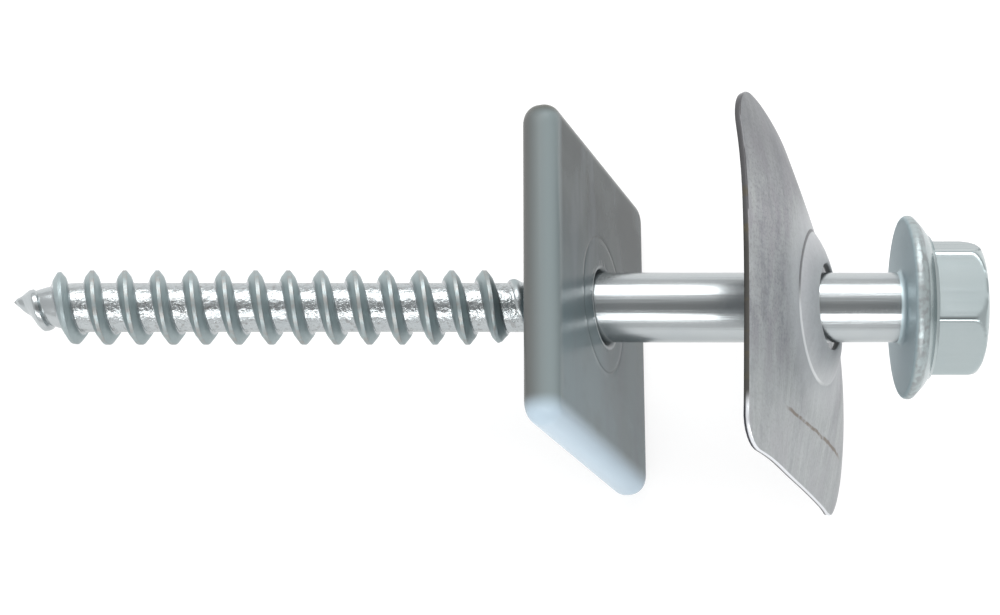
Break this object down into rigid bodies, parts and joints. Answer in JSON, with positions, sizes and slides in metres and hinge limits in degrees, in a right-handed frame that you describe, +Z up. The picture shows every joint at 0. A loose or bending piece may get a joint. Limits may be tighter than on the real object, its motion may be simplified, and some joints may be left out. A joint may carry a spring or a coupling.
{
  "type": "roofing coach screw",
  "caption": "Roofing coach screw with a flanged hexagon head, a bent square steel spreader plate and a soft square sealing plate, both loose on its shank.",
  "frame": {"origin": "middle of the set's footprint, on the table it rests on", "axes": "+X runs level along the screw from its point to its head, +Z is up"},
  "size_m": [0.1082, 0.0416, 0.0371],
  "materials": {
    "screw": "zinc-plated, satin",
    "steel_plate": "galvanised, streaky",
    "sealing_plate": "soft glossy PVC"
  },
  "bodies": {
    "screw": {"screw": "screw"},
    "steel_plate": {"steel_plate": "steel_plate"},
    "sealing_plate": {"sealing_plate": "sealing_plate"}
  },
  "joints": [
    {"name": "steel_plate_slide", "type": "slide", "parent": "screw", "child": "steel_plate", "axis": [0.9848, 0, 0.1735], "range_m": [-0.019, 0.0055]},
    {"name": "sealing_plate_slide", "type": "slide", "parent": "screw", "child": "sealing_plate", "axis": [0.9848, 0, 0.1735], "range_m": [-0.058, 0.019]}
  ]
}
